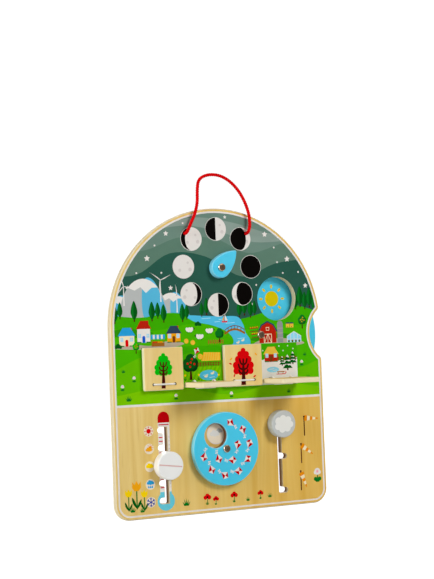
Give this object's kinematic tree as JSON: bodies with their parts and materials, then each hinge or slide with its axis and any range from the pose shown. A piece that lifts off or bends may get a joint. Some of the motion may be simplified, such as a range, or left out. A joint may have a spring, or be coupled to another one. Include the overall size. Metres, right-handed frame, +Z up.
{
  "type": "weather learning board",
  "caption": "Arched plywood activity board on a rope loop, with a moon pointer, a weather disc behind a window, fold-down season tiles, a turning rain disc and knobs in notched slots.",
  "frame": {"origin": "middle of the panel's bottom edge, half way through its thickness", "axes": "+Z up the panel to its arched top, -Y out of the printed front, +X to the viewer's right"},
  "size_m": [0.3, 0.0729, 0.4273],
  "materials": {
    "plywood": "clear satin lacquer over a printed face",
    "tile_wood": "bare sanded wood with a print",
    "dowel_wood": "bare sanded wood",
    "cyan_paint": "satin paint on wood",
    "white_paint": "satin paint on wood",
    "grey_paint": "satin paint on wood",
    "bolt_steel": "bright nickel plate",
    "screw_steel": "zinc plate",
    "nylon": "natural nylon",
    "rope": "braided cotton",
    "elastic": "braided elastic"
  },
  "bodies": {
    "board": {"board_panel": "plywood", "handle_rope": "rope", "rope_knots": "rope", "front_axle_bolts": "bolt_steel", "front_axle_nuts": "bolt_steel", "front_spacers": "nylon", "weather_axle_bolt": "bolt_steel", "weather_axle_nut": "bolt_steel", "weather_spacer": "nylon", "weather_washer": "nylon", "spring_elastic": "elastic", "summer_elastic": "elastic", "autumn_elastic": "elastic", "winter_elastic": "elastic"},
    "moon_pointer": {"moon_pointer": "cyan_paint"},
    "weather_disc": {"weather_disc": "cyan_paint"},
    "rain_disc": {"rain_disc": "cyan_paint"},
    "spring_tile": {"spring_tile": "tile_wood"},
    "summer_tile": {"summer_tile": "tile_wood"},
    "autumn_tile": {"autumn_tile": "tile_wood"},
    "winter_tile": {"winter_tile": "tile_wood"},
    "thermometer_slider": {"thermometer_glide": "dowel_wood"},
    "thermometer_knob": {"thermometer_knob": "white_paint", "thermometer_post": "dowel_wood", "thermometer_screw": "screw_steel"},
    "wind_slider": {"wind_glide": "dowel_wood"},
    "wind_knob": {"wind_knob": "grey_paint", "wind_post": "dowel_wood", "wind_screw": "screw_steel"}
  },
  "joints": [
    {"name": "moon_pointer_turn", "type": "hinge", "parent": "board", "child": "moon_pointer", "pos_m": [0.0019, 0, 0.3075], "axis": [0, 1, 0], "continuous": true},
    {"name": "weather_disc_turn", "type": "hinge", "parent": "board", "child": "weather_disc", "pos_m": [0.06, 0, 0.2209], "axis": [0, 1, 0], "continuous": true},
    {"name": "rain_disc_turn", "type": "hinge", "parent": "board", "child": "rain_disc", "pos_m": [-0.0005, 0, 0.0795], "axis": [0, 1, 0], "continuous": true},
    {"name": "spring_tile_fold", "type": "hinge", "parent": "board", "child": "spring_tile", "pos_m": [-0.0825, -0.0095, 0.1605], "axis": [1, 0, 0], "range_deg": [0, 90], "deforming": ["spring_elastic"]},
    {"name": "summer_tile_fold", "type": "hinge", "parent": "board", "child": "summer_tile", "pos_m": [-0.0265, -0.0095, 0.1605], "axis": [1, 0, 0], "range_deg": [-90, 0], "deforming": ["summer_elastic"]},
    {"name": "autumn_tile_fold", "type": "hinge", "parent": "board", "child": "autumn_tile", "pos_m": [0.0295, -0.0095, 0.1605], "axis": [1, 0, 0], "range_deg": [0, 90], "deforming": ["autumn_elastic"]},
    {"name": "winter_tile_fold", "type": "hinge", "parent": "board", "child": "winter_tile", "pos_m": [0.0855, -0.0095, 0.1605], "axis": [1, 0, 0], "range_deg": [-90, 0], "deforming": ["winter_elastic"]},
    {"name": "thermometer_slide", "type": "slide", "parent": "board", "child": "thermometer_slider", "axis": [0, 0, 1], "range_m": [-0.0434, 0.0434]},
    {"name": "thermometer_knob_turn", "type": "hinge", "parent": "thermometer_slider", "child": "thermometer_knob", "pos_m": [-0.081, 0, 0.0641], "axis": [0, 1, 0], "continuous": true},
    {"name": "wind_slide", "type": "slide", "parent": "board", "child": "wind_slider", "axis": [0, 0, 1], "range_m": [-0.0853, 0.0015]},
    {"name": "wind_knob_turn", "type": "hinge", "parent": "wind_slider", "child": "wind_knob", "pos_m": [0.081, 0, 0.106], "axis": [0, 1, 0], "continuous": true}
  ]
}
